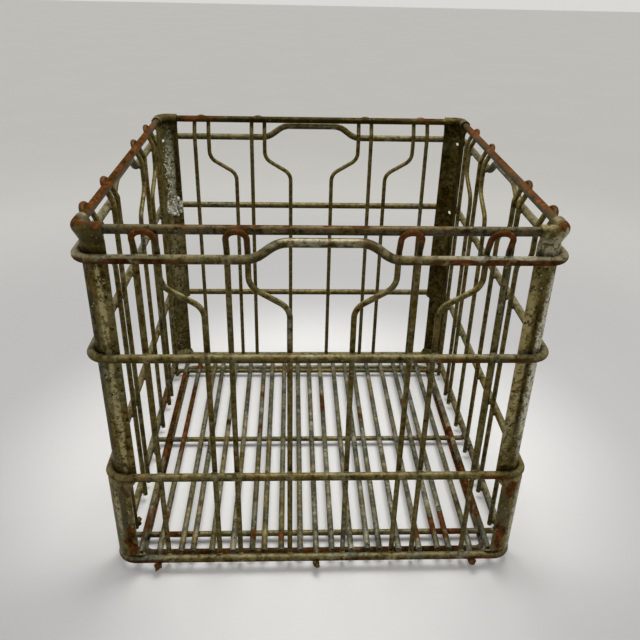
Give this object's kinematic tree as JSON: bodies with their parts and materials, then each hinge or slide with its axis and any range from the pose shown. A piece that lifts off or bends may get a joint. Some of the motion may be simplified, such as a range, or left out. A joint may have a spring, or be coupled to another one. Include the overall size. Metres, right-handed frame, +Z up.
{
  "type": "milk bottle crate",
  "caption": "Square welded wire crate for milk bottles, open at the top, with bent sheet corner posts and hand grips in its sides.",
  "frame": {"origin": "on the ground, under the centre of the crate", "axes": "+Z up out of the open top, X and Y square to the walls, floor wires along Y"},
  "size_m": [0.3324, 0.3394, 0.3042],
  "materials": {
    "rim_wire": "galvanised wire, rusted along the top",
    "hoop_wire": "weathered galvanised wire with rust underneath",
    "hairpin_wire": "weathered galvanised wire with rusted tops",
    "post_sheet": "weathered galvanised sheet with rust streaks",
    "floor_wire": "weathered galvanised wire, rusted in patches"
  },
  "bodies": {
    "root": {"top_rim_hoop": "rim_wire", "handle_hoop": "hoop_wire", "upper_band_hoop": "hoop_wire", "lower_band_hoop": "hoop_wire", "bottom_hoop": "hoop_wire", "corner_post_front_left": "post_sheet", "corner_post_front_right": "post_sheet", "corner_post_back_right": "post_sheet", "corner_post_back_left": "post_sheet", "hairpin_front_1": "hairpin_wire", "hairpin_front_2": "hairpin_wire", "hairpin_front_3": "hairpin_wire", "hairpin_front_4": "hairpin_wire", "hairpin_right_1": "hairpin_wire", "hairpin_right_2": "hairpin_wire", "hairpin_right_3": "hairpin_wire", "hairpin_right_4": "hairpin_wire", "hairpin_back_1": "hairpin_wire", "hairpin_back_2": "hairpin_wire", "hairpin_back_3": "hairpin_wire", "hairpin_back_4": "hairpin_wire", "hairpin_left_1": "hairpin_wire", "hairpin_left_2": "hairpin_wire", "hairpin_left_3": "hairpin_wire", "hairpin_left_4": "hairpin_wire", "floor_frame": "floor_wire", "floor_cross_wire_front": "floor_wire", "floor_cross_wire_middle": "floor_wire", "floor_cross_wire_back": "floor_wire", "floor_wire_01": "floor_wire", "floor_tie_wire_02": "floor_wire", "floor_wire_03": "floor_wire", "floor_wire_04": "floor_wire", "floor_wire_05": "floor_wire", "floor_wire_06": "floor_wire", "floor_wire_07": "floor_wire", "floor_wire_08": "floor_wire", "floor_wire_09": "floor_wire", "floor_wire_10": "floor_wire", "floor_tie_wire_11": "floor_wire", "floor_wire_12": "floor_wire", "floor_wire_13": "floor_wire", "floor_wire_14": "floor_wire", "floor_wire_15": "floor_wire", "floor_wire_16": "floor_wire", "floor_wire_17": "floor_wire", "floor_wire_18": "floor_wire", "floor_wire_19": "floor_wire", "floor_tie_wire_20": "floor_wire", "floor_wire_21": "floor_wire"}
  },
  "joints": []
}
